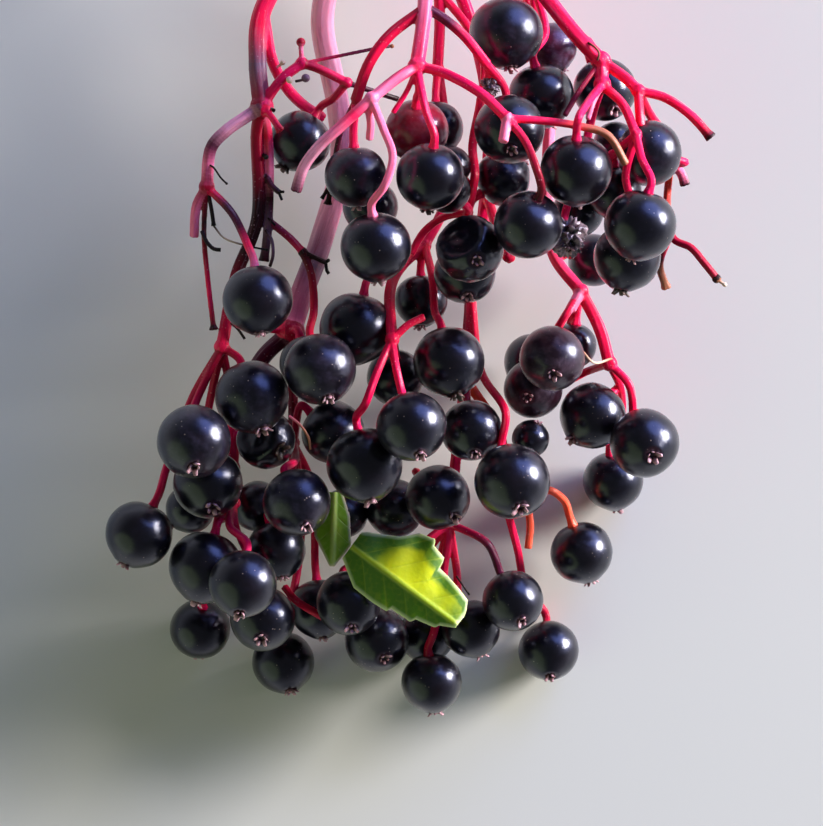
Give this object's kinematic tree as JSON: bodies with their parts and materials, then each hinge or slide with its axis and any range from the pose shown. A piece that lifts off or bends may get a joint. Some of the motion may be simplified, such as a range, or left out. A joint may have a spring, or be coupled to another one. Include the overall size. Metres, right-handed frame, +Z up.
{
  "type": "elderberry cluster",
  "caption": "Ripe drooping elderberry cluster, cut and lying down: a woody stalk, branching magenta stems, glossy black berries and a small toothed leaf.",
  "frame": {"origin": "on the table under the middle of the bunch's box", "axes": "+Y along the bunch towards its cut stalk, +Z up from the table, +X to the right seen from above with the stalk away from the viewer"},
  "size_m": [0.0615, 0.1124, 0.0314],
  "materials": {
    "berry": "blue-black fruit skin, glossy, with a thin waxy bloom",
    "red_berry": "unripe crimson fruit skin, glossy",
    "stem": "magenta stem skin, ridged lengthwise, satin, darker at the forks",
    "stalk": "purple-brown young bark with fine ridges and a pale cut end",
    "leaf": "fresh green leaf blade with a pale midrib and pale toothed edge"
  },
  "bodies": {
    "root": {"berry_back_1": "berry", "berry_back_2": "berry", "berry_back_3": "berry", "berry_back_4": "berry", "berry_back_5": "berry", "berry_back_6": "berry", "berry_centre_1": "berry", "berry_centre_2": "berry", "berry_centre_3": "red_berry", "berry_centre_4": "berry", "berry_centre_5": "berry", "berry_centre_6": "berry", "berry_left_1": "berry", "berry_left_2": "berry", "berry_left_3": "berry", "berry_left_4": "berry", "berry_left_5": "berry", "berry_left_6": "berry", "berry_left_7": "berry", "berry_lower_1": "berry", "berry_lower_10": "berry", "berry_lower_2": "berry", "berry_lower_3": "berry", "berry_lower_4": "berry", "berry_lower_5": "berry", "berry_lower_6": "berry", "berry_lower_7": "berry", "berry_lower_8": "berry", "berry_lower_9": "berry", "berry_middle_1": "berry", "berry_middle_2": "berry", "berry_middle_3": "berry", "berry_middle_4": "berry", "berry_middle_5": "berry", "berry_middle_6": "berry", "berry_right_1": "berry", "berry_right_10": "berry", "berry_right_2": "berry", "berry_right_3": "berry", "berry_right_4": "berry", "berry_right_5": "berry", "berry_right_6": "berry", "berry_right_7": "berry", "berry_right_8": "berry", "berry_right_9": "berry", "berry_side_1": "berry", "berry_side_2": "berry", "berry_side_3": "berry", "berry_side_4": "berry", "berry_side_5": "berry", "leaflet_main": "leaf", "leaflet_side": "leaf", "ray_back": "stem", "ray_centre": "stem", "ray_left": "stem", "ray_lower": "stem", "ray_middle": "stem", "ray_right": "stem", "ray_side": "stem", "stalk": "stalk"}
  },
  "joints": []
}
